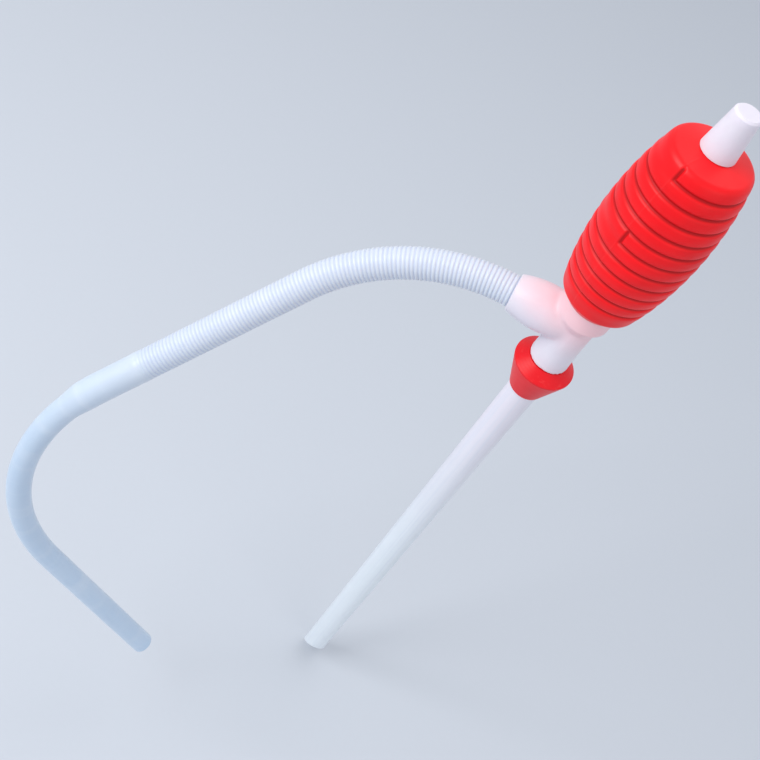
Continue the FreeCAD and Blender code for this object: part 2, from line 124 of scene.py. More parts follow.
class BulbSettings(bpy.types.PropertyGroup):
    """Sizes and colours of the squeeze bulb."""

    foot_height: length("Foot height", "Height of the bulb's foot above the origin", 0.0832)
    foot_radius: length("Foot radius", "Outside radius at the foot", 0.0162)
    foot_slope: length("Foot slope", "Height of the slope between the foot and the barrel", 0.0068)
    end_radius: length("Barrel end radius", "Outside radius at both ends of the barrel", 0.0224)
    belly: length("Belly", "How far the barrel swells over its ends", 0.006)
    barrel_length: length("Barrel length", "Length of the grooved barrel", 0.1026)
    rim: length("Rim", "Size of the round at the top rim", 0.0018)
    shoulder_radius: length("Shoulder radius", "Radius of the flat ring under the vent cap", 0.0095)
    shoulder_rise: length("Shoulder rise", "Rise of the shoulder from the rim to that ring", 0.0026)
    neck_radius: length("Neck radius", "Outside radius of the vent neck", 0.0052)
    neck_height: length("Neck height", "Height of the vent neck", 0.018)
    wall: length("Wall", "Thickness of the bulb's wall", 0.002)
    lip_bore: length("Lip bore", "Radius of the bore in the bulb's lip", 0.0136)
    lip_height: length("Lip height", "Height of that bore", 0.004)
    softness: length("Softness", "How far the corners are rounded", 0.0006)
    grooves: bpy.props.IntProperty(name="Grooves", description="Number of grooves", default=11, min=2)
    groove_depth: length("Groove depth", "Depth of each groove", 0.0011)
    groove_width: length("Groove half width", "Half of each groove's width", 0.0021)
    rib_crown: length("Rib crown", "How far a rib swells between two grooves", 0.0003)
    groove_foot: length("Lowest groove", "Height of the lowest groove above the barrel's foot", 0.0117)
    groove_top: length("Highest groove", "Distance of the highest groove below the barrel's top", 0.0062)
    parting_angle: angle("Parting line", "Turn of the mould's parting line from -Y towards -X", 30.5)
    panel_margin: angle("Panel margin", "Angle from a short groove's end to the parting line", 3)
    parting_ridge: length("Parting ridge", "Height of the ridge along the parting line", 0.0001)
    red: colour("Red", "Colour of the bulb's plastic", (0.97, 0.004, 0.009))
    # Painted shade: the darker red that the grooves take, standing in for the shade that falls in them.
    groove_painted_shade: colour("Deep red", "Its colour in the grooves", (0.50, 0.001, 0.004))


class HoseSettings(bpy.types.PropertyGroup):
    """Sizes and colours of the discharge hose."""

    radius: length("Radius", "Outside radius over the rings", 0.0095)
    end_radius: length("End radius", "Outside radius of the smooth end", 0.0081)
    wall: length("Wall", "Thickness of the smooth wall", 0.0011)
    ring_pitch: length("Ring pitch", "Distance from one ring to the next", 0.00245)
    ring_depth: length("Ring depth", "Depth of the valley between two rings", 0.00055)
    rings_end: length("Rings end", "Where the rings stop, along the hose", 0.2475)
    cuff_end: length("Cuff end", "Where the smooth cuff begins to narrow", 0.2885)
    narrow_from: length("Narrow from", "Where the smooth end has its full narrowness", 0.306)
    full_length: length("Length", "Length of the whole hose", 0.598)
    inner_end: spot("Inner end", "Where the hose begins, inside the side branch", (-0.02387, 0.0, 0.05949))
    branch_fall: angle("Branch fall", "Fall of the side branch, which the first run follows", 6)
    first_run: length("First run", "Distance from the inner end to the first corner", 0.082)
    corner: spot("Second corner", "Corner that the second bend rounds off", (-0.276, -0.155, -0.173))
    open_end: spot("Open end", "Centre of the hose's open end", (-0.124, -0.113, -0.361))
    bend_radius: length("Bend radius", "Radius of both bends, on the centreline", 0.13)
    milk: colour("Milk", "Colour of the ringed part", (0.64, 0.70, 0.79))
    # Painted shade: the valleys between the rings take this darker blue in place of the shade that falls in
    # them.
    valley: colour("Valley", "Colour between the rings", (0.55, 0.62, 0.80))
    haze: colour("Haze", "Colour of the smooth, clearer end", (0.50, 0.63, 0.80))
    cleared: length("Cleared", "Where the hose has its clearer colour, along the hose", 0.40)


class MouldingSettings(bpy.types.PropertyGroup):
    """Colours of the rigid mouldings, and how softly the tee's branch joins its barrel."""

    white: colour("White", "Colour of the tee and the vent cap", (0.80, 0.76, 0.85))
    # Painted reflection: the pink that the red bulb throws onto the upper tee, painted into its colour.
    painted_red_reflection: colour("Blush", "Colour of the tee where the bulb's red shines through", (0.93, 0.56, 0.60))
    pipe_white: colour("Pipe white", "Colour of the pick-up pipe", (0.81, 0.88, 0.95))
    adapter_red: colour("Adapter red", "Colour of the container adapter", (0.90, 0.006, 0.014))
    natural: colour("Natural", "Colour of the valves", (0.76, 0.75, 0.70))
    rubber: colour("Rubber", "Colour of the vent cap's seal", (0.035, 0.034, 0.033))
    grain: length("Tee grain", "Size of the faces of the softened tee", 0.00055)
    fillet: length("Fillet", "Reach of the round where the branch joins the barrel", 0.0035)


class StageSettings(bpy.types.PropertyGroup):
    """The floor, the lights and the camera."""

    floor_size: length("Floor size", "Side of the floor", 30.0)
    floor_gap: length("Floor gap", "Gap between the pump's lowest point and the floor", 0.0015)
    floor_tint: colour("Floor", "Colour of the floor", (0.60, 0.64, 0.70))
    camera_place: spot("Camera place", "Where the camera stands", (-0.0758, -0.4422, 0.4732))
    camera_fall: angle("Camera fall", "How far the camera looks down", 50.79)
    camera_turn: angle("Camera turn", "Its turn from +Y towards +X", 0.13)
    camera_roll: angle("Camera roll", "Its roll about its own line of sight", 31.99)
    lens: bpy.props.FloatProperty(
        name="Lens", description="Focal length in millimetres on a 36 mm sensor", default=51.8
    )
    key_power: bpy.props.FloatProperty(name="Key light", description="Watts of the key light", default=15.0)
    fill_power: bpy.props.FloatProperty(name="Fill light", description="Watts of the fill light", default=2.5)
    top_power: bpy.props.FloatProperty(name="Top light", description="Watts of the top light", default=3.5)
    sky: bpy.props.FloatProperty(name="Sky", description="Strength of the even light all round", default=0.72)


# Materials.


class Finish:
    """A material that is being put together from nodes."""

    def __init__(self, name):
        self.material = bpy.data.materials.new(name)
        self.material.use_nodes = True
        self.tree = self.material.node_tree
        self.tree.nodes.clear()

    def node(self, kind, settings=None, inputs=None, output=0):
        """Add a node, with its settings first and then its sockets' values or links."""
        made = self.tree.nodes.new(kind)
        for name, value in (settings or {}).items():
            setattr(made, name, value)
        for name, value in (inputs or {}).items():
            if isinstance(value, Field):
                self.tree.links.new(value.socket, made.inputs[name])
            else:
                made.inputs[name].default_value = value
        return None if output is None else Field(self, made.outputs[output])

    def place(self, stretch=(1, 1, 1)):
        """Object coordinates, stretched along each axis."""
        here = self.node("ShaderNodeTexCoord", output="Object")
        return self.node("ShaderNodeMapping", inputs={"Vector": here, "Scale": stretch})

    def split(self, vector):
        """The three numbers of a vector."""
        parts = self.node("ShaderNodeSeparateXYZ", inputs={"Vector": vector})
        outputs = parts.socket.node.outputs
        return [Field(self, outputs[index]) for index in range(3)]

    def noise(self, scale, detail=3.0, stretch=(1, 1, 1), roughness=0.55):
        """Cloudy noise from 0 to 1, with about scale lumps to the metre."""
        return self.node(
            "ShaderNodeTexNoise",
            inputs={"Vector": self.place(stretch), "Scale": scale, "Detail": detail, "Roughness": roughness},
        )

    def ease(self, value, low, high):
        """0 below low, 1 above high and a smooth step between."""
        return self.node(
            "ShaderNodeMapRange",
            {"interpolation_type": "SMOOTHSTEP"},
            {"Value": value, "From Min": low, "From Max": high},
        )

    def mix(self, share, first, second):
        """first where share is 0 and second where it is 1."""
        ends = [value if isinstance(value, Field) else (*value, 1) for value in (first, second)]
        return self.node(
            "ShaderNodeMix", {"data_type": "RGBA"}, {0: share, 6: ends[0], 7: ends[1]}, output=2
        )

    def attribute(self, name):
        """A number that the mesh carries at each point."""
        return self.node("ShaderNodeAttribute", {"attribute_name": name}, output="Fac")

    def bump(self, height_mm):
        """A normal that shows a relief of this height in millimetres."""
        return self.node("ShaderNodeBump", inputs={"Height": height_mm, "Strength": 1.0, "Distance": MM})

    def close(self, shade, roughness, relief, **steady):
        """Join the varying parts to the surface and set its steady sockets."""
        sockets = {"Base Color": shade, "Roughness": roughness, "Normal": self.bump(relief)}
        sockets.update({name.replace("_", " "): value for name, value in steady.items()})
        surface = self.node("ShaderNodeBsdfPrincipled", inputs=sockets)
        self.node("ShaderNodeOutputMaterial", inputs={"Surface": surface}, output=None)
        return self.material


class Field:
    """A socket whose value can be used in arithmetic, which adds Math nodes."""

    def __init__(self, finish, socket):
        self.finish = finish
        self.socket = socket

    def sum(self, operation, first, second):
        return self.finish.node("ShaderNodeMath", {"operation": operation}, {0: first, 1: second})

    def __add__(self, other):
        return self.sum("ADD", self, other)

    def __sub__(self, other):
        return self.sum("SUBTRACT", self, other)

    def __mul__(self, other):
        return self.sum("MULTIPLY", self, other)

    __radd__ = __add__
    __rmul__ = __mul__


def bulb_plastic(settings):
    """Soft glossy red: cloudy depth of colour, painted shade in the grooves, an orange-peel skin and a parting
    line with a painted highlight.
    """
    finish = Finish("bulb_red_plastic")
    cloud = finish.noise(38, 4)
    groove = finish.attribute("groove")
    ridge = finish.attribute("ridge")
    red = finish.mix(finish.ease(cloud, 0.3, 0.75), settings.red, [0.86 * part for part in settings.red])
    # Painted shade: the colour darkens towards the groove red where the grooves sink in.
    shade = finish.mix(finish.ease(groove, 0.15, 0.95), red, settings.groove_painted_shade)
    # Painted highlight: a paler orange-red line along the parting ridge, which is also raised in the mesh.
    shade = finish.mix(ridge * 0.12, shade, (1.0, 0.05, 0.05))
    peel = finish.noise(900, 2)
    scuff = finish.ease(finish.noise(160, 5, (1, 1, 0.35)), 0.60, 0.78)
    rough = 0.34 + 0.10 * cloud + 0.14 * scuff + 0.12 * groove
    relief = peel * 0.035 + cloud * 0.10 - scuff * 0.012
    return finish.close(
        shade, rough, relief, IOR=1.50, Specular_IOR_Level=0.28, Subsurface_Weight=0.10,
        Subsurface_Radius=(1.0, 0.12, 0.06), Subsurface_Scale=0.004,
    )


def adapter_plastic(settings):
    """Red of the adapter, a little duller, with rings left by the mould's turning and rubbed marks."""
    finish = Finish("adapter_red_plastic")
    cloud = finish.noise(60, 4)
    height = finish.split(finish.place())[2]
    turned = finish.node("ShaderNodeMath", {"operation": "SINE"}, {0: height * 5200})
    rubbed = finish.ease(finish.noise(220, 5, (1, 1, 3)), 0.58, 0.74)
    shade = finish.mix(cloud, settings.adapter_red, [0.78 * part for part in settings.adapter_red])
    shade = finish.mix(rubbed * 0.30, shade, (0.95, 0.09, 0.08))
    rough = 0.33 + 0.12 * cloud + 0.16 * rubbed
    relief = turned * 0.012 + finish.noise(1100, 2) * 0.03 - rubbed * 0.02
    return finish.close(
        shade, rough, relief, IOR=1.50, Specular_IOR_Level=0.28, Subsurface_Weight=0.10,
        Subsurface_Radius=(1.0, 0.12, 0.06), Subsurface_Scale=0.003,
    )


def white_plastic(settings, name, reflection_low=None, reflection_high=None):
    """Milky white polyethylene: faint flow clouds, a waxy skin and, on the tee, a painted reflection of the red
    bulb.
    """
    finish = Finish(name)
    cloud = finish.noise(55, 4, (1, 1, 0.6))
    shade = finish.mix(cloud, settings.white, [0.93 * part for part in settings.white])
    if reflection_high is not None:
        # Painted reflection: pink from the red bulb, stronger higher up and towards +X.
        side, _, height = finish.split(finish.place())
        nearness = height + side * 0.45 + cloud * 0.010
        shade = finish.mix(finish.ease(nearness, reflection_low, reflection_high) * 0.85, shade, settings.painted_red_reflection)
    skin = finish.noise(1300, 2)
    rubbed = finish.ease(finish.noise(170, 5), 0.60, 0.76)
    rough = 0.36 + 0.12 * cloud + 0.12 * rubbed
    relief = skin * 0.03 + cloud * 0.08 - rubbed * 0.012
    return finish.close(
        shade, rough, relief, IOR=1.51, Subsurface_Weight=0.35, Subsurface_Radius=(1.0, 0.92, 0.95),
        Subsurface_Scale=0.004,
    )


def pipe_plastic(settings):
    """Extruded polyethylene: long faint draw lines, a cooler shade towards the foot and sliding scratches."""
    finish = Finish("pipe_polyethylene")
    height = finish.split(finish.place())[2]
    drawn = finish.noise(420, 3, (1, 1, 0.012))
    cloud = finish.noise(14, 3, (1, 1, 0.5))
    warm = finish.ease(height, -0.25, 0.02)
    shade = finish.mix(warm, settings.pipe_white, settings.white)
    shade = finish.mix(finish.ease(drawn, 0.45, 0.75) * 0.35, shade, (0.66, 0.72, 0.84))
    scratch = finish.ease(finish.noise(700, 4, (1, 1, 0.05)), 0.62, 0.72) * finish.ease(cloud, 0.45, 0.65)
    rough = 0.30 + 0.10 * cloud + 0.22 * scratch
    relief = drawn * 0.05 - scratch * 0.02
    return finish.close(
        shade, rough, relief, IOR=1.51, Subsurface_Weight=0.30, Subsurface_Radius=(1.0, 0.96, 0.98),
        Subsurface_Scale=0.003,
    )


def hose_plastic(settings):
    """Hazy polyethylene: milky where the rings are and clearer towards the open end, with painted shade in the
    valleys, long draw lines, cloudy patches and a pale sheen at grazing angles, as a thin clear wall has."""
    finish = Finish("hose_polyethylene")
    valley = finish.attribute("valley")
    along = finish.attribute("along")
    cloud = finish.noise(30, 3)
    drawn = finish.noise(650, 3)
    streak = finish.node(
        "ShaderNodeTexNoise", {"noise_dimensions": "1D"}, {"W": along, "Scale": 85.0, "Detail": 3.0}
    )
    cleared = finish.ease(along + cloud * 0.03, settings.rings_end - 0.07, settings.cleared)
    shade = finish.mix(cleared, settings.milk, settings.haze)
    shade = finish.mix(finish.ease(cloud, 0.35, 0.8) * 0.12, shade, (0.86, 0.90, 0.97))
    shade = finish.mix(finish.ease(streak, 0.45, 0.8) * 0.10, shade, (0.90, 0.93, 0.98))
    # Painted shade: the ring valleys darken towards the valley colour.
    shade = finish.mix(valley * 0.8, shade, settings.valley)
    rough = 0.28 + 0.10 * cloud + 0.12 * valley
    relief = drawn * 0.03 + cloud * 0.06
    return finish.close(
        shade, rough, relief, IOR=1.50, Subsurface_Weight=0.25, Subsurface_Radius=(0.9, 1.0, 1.0),
        Subsurface_Scale=0.003, Sheen_Weight=0.45, Sheen_Roughness=0.35,
    )


def valve_plastic(settings):
    """Natural polypropylene with fine turning rings and a faint yellow cloud."""
    finish = Finish("valve_natural_plastic")
    cloud = finish.noise(120, 4)
    shade = finish.mix(cloud, settings.natural, [0.88 * part for part in settings.natural])
    return finish.close(
        shade, 0.38 + 0.14 * cloud, finish.noise(1600, 2) * 0.03, IOR=1.49, Subsurface_Weight=0.2,
        Subsurface_Radius=(1.0, 0.95, 0.85), Subsurface_Scale=0.002,
    )


def seal_rubber(settings):
    """Dull black rubber with a bloom of paler dust."""
    finish = Finish("seal_black_rubber")
    bloom = finish.ease(finish.noise(260, 5), 0.45, 0.8)
    shade = finish.mix(bloom * 0.5, settings.rubber, (0.10, 0.10, 0.10))
    return finish.close(shade, 0.62 + 0.2 * bloom, finish.noise(2200, 3) * 0.04, IOR=1.52)


def floor_paper(settings):
    """Plain pale card with a barely seen fibre."""
    finish = Finish("floor_card")
    fibre = finish.noise(240, 4)
    shade = finish.mix(fibre, settings.floor_tint, [0.985 * part for part in settings.floor_tint])
    return finish.close(shade, 0.80 + 0.1 * fibre, fibre * 0.02, Specular_IOR_Level=0.2)


# Shapes.


def add_piece(name, points, faces, fields=None):
    """A smooth mesh object from whole arrays. fields are numbers carried at each point."""
    mesh = bpy.data.meshes.new(name)
    mesh.from_pydata(points.reshape(-1, 3).tolist(), [], faces.tolist())
    mesh.polygons.foreach_set("use_smooth", np.ones(len(faces), bool))
    for field, values in (fields or {}).items():
        layer = mesh.attributes.new(field, "FLOAT", "POINT")
        layer.data.foreach_set("value", np.ascontiguousarray(values.ravel(), np.float32))
    mesh.update()
    piece = bpy.data.objects.new(name, mesh)
    bpy.context.collection.objects.link(piece)
    return piece


def ring_faces(rows, around):
    """Quads of a grid that closes both along its rows and around them, wound so that they face outwards."""
    row, column = np.meshgrid(np.arange(rows), np.arange(around), indexing="ij")
    next_row, next_column = (row + 1) % rows, (column + 1) % around
    corners = (
        row * around + column,
        row * around + next_column,
        next_row * around + next_column,
        next_row * around + column,
    )
    return np.stack([corner.ravel() for corner in corners], axis=1)


def reach_along(line):
    """How far along a line of points each one lies."""
    return np.concatenate([[0], np.cumsum(np.linalg.norm(np.diff(line, axis=0), axis=1))])


def spaced(line, gap):
    """Points at even gaps along a line of points, by linear interpolation of its length."""
    reach = reach_along(line)
    marks = np.linspace(0, reach[-1], max(2, int(round(reach[-1] / gap)) + 1))
    return np.stack([np.interp(marks, reach, part) for part in line.T], axis=1)


def softened(line, gap, spread):
    """A line whose corners are rounded: each point becomes the Gaussian mean of its neighbours, ends held."""
    reach = int(math.ceil(3 * spread / gap))
    offsets = np.arange(-reach, reach + 1) * gap
    weights = np.exp(-0.5 * (offsets / spread) ** 2)
    weights /= weights.sum()
    head = 2 * line[0] - line[reach:0:-1]
    tail = 2 * line[-1] - line[-2 : -reach - 2 : -1]
    padded = np.concatenate([head, line, tail])
    return np.stack([np.convolve(part, weights, "valid") for part in padded.T], axis=1)


def bulb_outline(size):
    """The outside of the bulb from foot to neck top as (radius, height): straight lines, and for the barrel
    the radius end_radius + belly * (1 - u * u), u running from -1 at its foot to 1 at its top."""
    barrel_foot = size.foot_height + size.foot_slope
    barrel_top = barrel_foot + size.barrel_length
    u = np.linspace(-1, 1, 81)
    barrel = np.stack(
        [size.end_radius + size.belly * (1 - u * u), barrel_foot + size.barrel_length * (u + 1) / 2], axis=1
    )
    shoulder = barrel_top + size.rim + size.shoulder_rise
    neck_top = shoulder + size.neck_height
    return np.concatenate([
        [(size.lip_bore, size.foot_height), (size.foot_radius, size.foot_height)],
        barrel,
        [
            (size.end_radius - size.rim, barrel_top + size.rim),
            (size.shoulder_radius, shoulder),
            (size.neck_radius, shoulder),
            (size.neck_radius, neck_top),
            (size.neck_radius - size.wall, neck_top),
        ],
    ])


def bulb_inside(size):
    """The inside of the bulb from neck top down to the lip, one wall inside the outside."""
    barrel_foot = size.foot_height + size.foot_slope
    barrel_top = barrel_foot + size.barrel_length
    lip_top = size.foot_height + size.lip_height
    u = np.linspace(1, -1, 25)
    barrel = np.stack([
        size.end_radius - size.wall + size.belly * (1 - u * u),
        barrel_foot + size.barrel_length * (u + 1) / 2,
    ], axis=1)
    shoulder = barrel_top + size.rim + size.shoulder_rise
    return np.concatenate([
        [(size.neck_radius - size.wall, shoulder - size.wall)],
        [(size.shoulder_radius - size.wall, shoulder - size.wall)],
        barrel,
        [(size.lip_bore + size.wall, lip_top), (size.lip_bore, lip_top)],
    ])


def bulb_surface(size):
    """The bulb's points and the depth of groove and ridge at each.

    The outline is turned about the pump's axis. A groove takes depth * cos(pi / 2 * d / half_width) ** 3 off
    the radius, d being the distance to the groove's line. A short groove stops beside the parting line, and
    turns up there to the next groove, or to the rim, so that it closes the end of a rib. Ribs swell by
    rib_crown * sin(pi * h / pitch) ** 2, h being the height over a groove. The parting ridge adds
    height * exp(-(d / 0.5 mm) ** 2). The turn about the axis is t - 0.3 * sin(2 t) from the parting line,
    which draws the columns together at the ridge."""
    gap = 0.00015
    outline = softened(spaced(bulb_outline(size), gap), gap, size.softness)
    barrel_foot = size.foot_height + size.foot_slope
    barrel_top = barrel_foot + size.barrel_length
    levels = np.linspace(barrel_foot + size.groove_foot, barrel_top - size.groove_top, size.grooves)

    step = np.concatenate([[0], np.linalg.norm(np.diff(outline, axis=0), axis=1)])
    from_groove = np.abs(outline[:, 1, None] - levels).min(axis=1)
    on_barrel = (outline[:, 0] > size.end_radius * 0.9) & (outline[:, 1] > barrel_foot)
    near_groove = on_barrel & (from_groove < size.groove_width)
    density = np.where(near_groove, 1 / GROOVE_GAP, np.where(on_barrel, 1 / BARREL_GAP, 1 / END_GAP))
    count = np.cumsum(density * step)
    marks = np.linspace(0, count[-1], int(count[-1]))
    outline = np.stack([np.interp(marks, count, part) for part in outline.T], axis=1)

    inside = bulb_inside(size)
    profile = np.concatenate([outline, inside])
    slope = np.gradient(outline, axis=0)
    slope /= np.linalg.norm(slope, axis=1)[:, None]
    outward = np.stack([slope[:, 1], -slope[:, 0]], axis=1)

    around = BULB_COLUMNS
    turn = np.arange(around) * 2 * math.pi / around
    turn = turn - 0.3 * np.sin(2 * turn)
    start = -math.pi / 2 - size.parting_angle
    radius, height = profile[:, 0, None], profile[:, 1, None]
    outer = len(outline)

    cut = np.zeros((len(profile), around))
    rows = slice(0, outer)
    for number, level in enumerate(levels, start=1):
        rise = np.abs(height[rows] - level)
        away = np.zeros((1, around))
        if number in SHORT_GROOVES:
            past = np.maximum(size.panel_margin - turn, turn - (math.pi - size.panel_margin))
            away = np.where(turn > 1.5 * math.pi, size.panel_margin + 2 * math.pi - turn, past)
            away = np.maximum(away, 0)[None, :]
            upper = levels[number] if number < size.grooves else barrel_top
            over = np.maximum(np.maximum(level - height[rows], height[rows] - upper), 0)
            for end in (size.panel_margin, math.pi - size.panel_margin):
                across = np.abs(turn - end)[None, :] * radius[rows]
                reach = np.clip(np.hypot(across, over) / size.groove_width, 0, 1)
                cut[rows] = np.maximum(cut[rows], np.cos(math.pi / 2 * reach) ** 3)
        distance = np.hypot(rise, away * radius[rows])
        reach = np.clip(distance / size.groove_width, 0, 1)
        cut[rows] = np.maximum(cut[rows], np.cos(math.pi / 2 * reach) ** 3)
    from_line = np.abs(np.sin(turn))[None, :] * radius[rows]
    skirt = np.clip((height[rows] - barrel_foot) / 0.004, 0, 1)
    skirt = skirt * np.clip((radius[rows] - size.shoulder_radius - 0.002) / 0.004, 0, 1)
    line = np.zeros_like(cut)
    line[rows] = np.exp(-((from_line / 0.0005) ** 2)) * skirt

    pitch = levels[1] - levels[0]
    crowned = np.clip((height - levels[0] + pitch) / pitch, 0, 1)
    crowned = crowned * np.clip((barrel_top - height) / pitch, 0, 1)
    crown = np.sin(math.pi * (height - levels[0]) / pitch) ** 2 * crowned
    push = line * size.parting_ridge + crown * size.rib_crown - cut * size.groove_depth
    side = np.zeros((len(profile), 2))
    side[rows] = outward
    radius = radius + push * side[:, 0, None]
    height = height + push * side[:, 1, None]
    points = np.stack(
        [radius * np.cos(start + turn), radius * np.sin(start + turn), np.broadcast_to(height, radius.shape)],
        axis=2,
    )
    return points, cut, line


def hose_line(size, gap):
    """Points at even gaps along the hose's route: three straight runs joined by two bends of radius r.

    A bend that turns the route by a has its centre at corner + m * r / cos(a / 2), m being the unit vector
    that halves the corner. Its points are centre + r * (u * cos(t) + come * sin(t)) for t from 0 to a, with u
    the unit vector from the centre to the bend's start and come that of the run before it."""
    inner_end = np.array(size.inner_end)
    along = np.array((-math.cos(size.branch_fall), 0, -math.sin(size.branch_fall)))
    corners = [inner_end, inner_end + along * size.first_run, np.array(size.corner), np.array(size.open_end)]
    rows = [corners[:1]]
    for before, corner, after in zip(corners, corners[1:], corners[2:]):
        come = (corner - before) / np.linalg.norm(corner - before)
        leave = (after - corner) / np.linalg.norm(after - corner)
        turn = math.acos(come @ leave)
        halfway = (leave - come) / np.linalg.norm(leave - come)
        centre = corner + halfway * size.bend_radius / math.cos(turn / 2)
        start = corner - come * size.bend_radius * math.tan(turn / 2)
        spoke = (start - centre) / size.bend_radius
        swept = np.linspace(0, turn, 90)[:, None]
        rows.append(centre + size.bend_radius * (spoke * np.cos(swept) + come * np.sin(swept)))
    rows.append(corners[-1:])
    return spaced(np.concatenate(rows), gap)


def hose_surface(size, line):
    """The hose's points, with how deep in a valley and how far along the hose each lies.

    The outside radius is radius - ring_depth * valley in the ringed part, valley being
    exp(-(d / (0.2 * pitch)) ** 2) with d the distance to the nearest valley; it is radius in the cuff, and
    eases from radius to end_radius where the cuff narrows. The inside is one wall further in. Each row is a
    circle in the plane across the route, and the rows run down the outside and back up the inside."""
    reach = reach_along(line)
    total = reach[-1]
    ringed = np.arange(0, size.rings_end, size.ring_pitch / 8)
    plain = np.concatenate([
        np.arange(size.rings_end, size.narrow_from, 0.0012),
        np.arange(size.narrow_from, total - 0.0008, 0.003),
        total - np.array([0.0008, 0.0004, 0.00015, 0.0]),
    ])
    outside = np.concatenate([ringed, plain])
    inside = np.concatenate([
        total - np.array([0.0, 0.0002, 0.0006]), np.arange(total - 0.004, 0.001, -0.004), [0.0]
    ])
    marks = np.concatenate([outside, inside])
    is_inside = np.arange(len(marks)) >= len(outside)

    phase = marks / size.ring_pitch
    from_valley = np.abs(phase - np.round(phase)) * size.ring_pitch
    fade = np.clip((size.rings_end - marks) / 0.006, 0, 1)
    valley = np.exp(-((from_valley / (0.2 * size.ring_pitch)) ** 2)) * fade * ~is_inside
    ease = np.clip((marks - size.cuff_end) / (size.narrow_from - size.cuff_end), 0, 1)
    ease = ease * ease * (3 - 2 * ease)
    radius = size.radius + (size.end_radius - size.radius) * ease - size.ring_depth * valley
    to_end = total - marks
    radius -= np.where(is_inside, size.wall + 0.0004 * (1 - ease), 0)
    lip = np.clip(1 - to_end / 0.0005, 0, 1) ** 2 * 0.0003
    radius += np.where(is_inside, lip, -lip)
    bead = 0.0002 * np.exp(-(((marks - size.rings_end - 0.002) / 0.0012) ** 2))
    radius += np.where(is_inside, 0, bead)

    centre = np.stack([np.interp(marks, reach, part) for part in line.T], axis=1)
    tangent = np.gradient(line, axis=0)
    tangent = softened(tangent, reach[1], 0.004)
    tangent = np.stack([np.interp(marks, reach, part) for part in tangent.T], axis=1)
    tangent /= np.linalg.norm(tangent, axis=1)[:, None]
    side = np.cross(tangent, (0, 1, 0))
    side /= np.linalg.norm(side, axis=1)[:, None]
    other = np.cross(tangent, side)
    around = HOSE_COLUMNS
    turn = np.arange(around) * 2 * math.pi / around
    spoke = side[:, None] * np.cos(turn)[None, :, None] + other[:, None] * np.sin(turn)[None, :, None]
    points = centre[:, None] + radius[:, None, None] * spoke
    spread = np.ones((1, around))
    return points, valley[:, None] * spread, marks[:, None] * spread


def tee_shell(node, settings):
    """A copy of the tee with one even skin of small faces, softened where the branch meets the barrel.

    Each point moves towards the mean of its neighbours, again and again, by a share that falls off as
    exp(-(d / fillet) ** 2), d being how far it lies from the crease between the two outsides."""
    piece = bpy.data.objects.new("tee_moulding", node.data.copy())
    bpy.context.collection.objects.link(piece)
    piece.data.materials.clear()
    weld = piece.modifiers.new("weld", "WELD")
    weld.merge_threshold = 0.00001
    skin = piece.modifiers.new("skin", "REMESH")
    skin.mode = "VOXEL"
    skin.voxel_size = settings.grain
    mesh = bpy.data.meshes.new_from_object(
        piece.evaluated_get(bpy.context.evaluated_depsgraph_get())
    )
    piece.modifiers.clear()
    piece.data = mesh
    points = np.empty(len(mesh.vertices) * 3)
    mesh.vertices.foreach_get("co", points)
    points = points.reshape(-1, 3)
    edges = np.empty(len(mesh.edges) * 2, np.int32)
    mesh.edges.foreach_get("vertices", edges)
    first, second = edges.reshape(-1, 2).T
    degree = np.bincount(np.concatenate([first, second]), minlength=len(points))

    fall = math.radians(BRANCH_FALL)
    way = np.array([-math.cos(fall), 0, -math.sin(fall)])
    root = np.array([0, 0, BRANCH_ROOT])
    along = (points - root) @ way
    from_branch = np.linalg.norm(points - root - along[:, None] * way, axis=1)
    from_axis = np.hypot(points[:, 0], points[:, 1])
    out = 2 * np.clip(along, 0, BRANCH_LENGTH) / BRANCH_LENGTH - 1
    branch_skin = BRANCH_RADIUS + BRANCH_BELLY * (1 - out ** 2)
    barrel_skin = np.interp(points[:, 2], BARREL_HEIGHTS, BARREL_RADII)
    away = np.hypot(from_branch - branch_skin, from_axis - barrel_skin)
    outer = (points[:, 0] < 0) & (from_axis > BARREL_CORE) & (from_branch > BRANCH_CORE)
    share = np.exp(-((away / settings.fillet) ** 2)) * outer
    share = 0.08 * outer * (points[:, 2] < COLLAR_FOOT) + 0.85 * share
    for _ in range(SMOOTHINGS):
        total = np.stack([
            np.bincount(first, points[second, axis], len(points))
            + np.bincount(second, points[first, axis], len(points))
            for axis in range(3)
        ], axis=1)
        points = points + (total / degree[:, None] - points) * (0.6 * share)[:, None]
    mesh.vertices.foreach_set("co", points.ravel())
    mesh.polygons.foreach_set("use_smooth", np.ones(len(mesh.polygons), bool))
    mesh.update()
    return piece


# Operators.


def pump():
    """The settings of the whole pump."""
    return bpy.context.scene.siphon_pump


def dress(node, material):
    """Give a carried-over node its finish."""
    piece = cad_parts[node]
    if not piece.material_slots:
        piece.data.materials.append(material)
    for slot in piece.material_slots:
        slot.material = material


class PUMP_OT_squeeze_bulb(bpy.types.Operator):
    """Build the grooved squeeze bulb and its red finish"""

    bl_idname = "pump.squeeze_bulb"
    bl_label = "Squeeze Bulb"

    def execute(self, context):
        settings = pump().bulb
        points, groove, ridge = bulb_surface(settings)
        faces = ring_faces(points.shape[0], points.shape[1])
        bulb = add_piece("bulb_moulding", points, faces, {"groove": groove, "ridge": ridge})
        bulb.data.materials.append(bulb_plastic(settings))
        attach(bulb, "pump")
        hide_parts("squeeze_bulb")
        return {"FINISHED"}


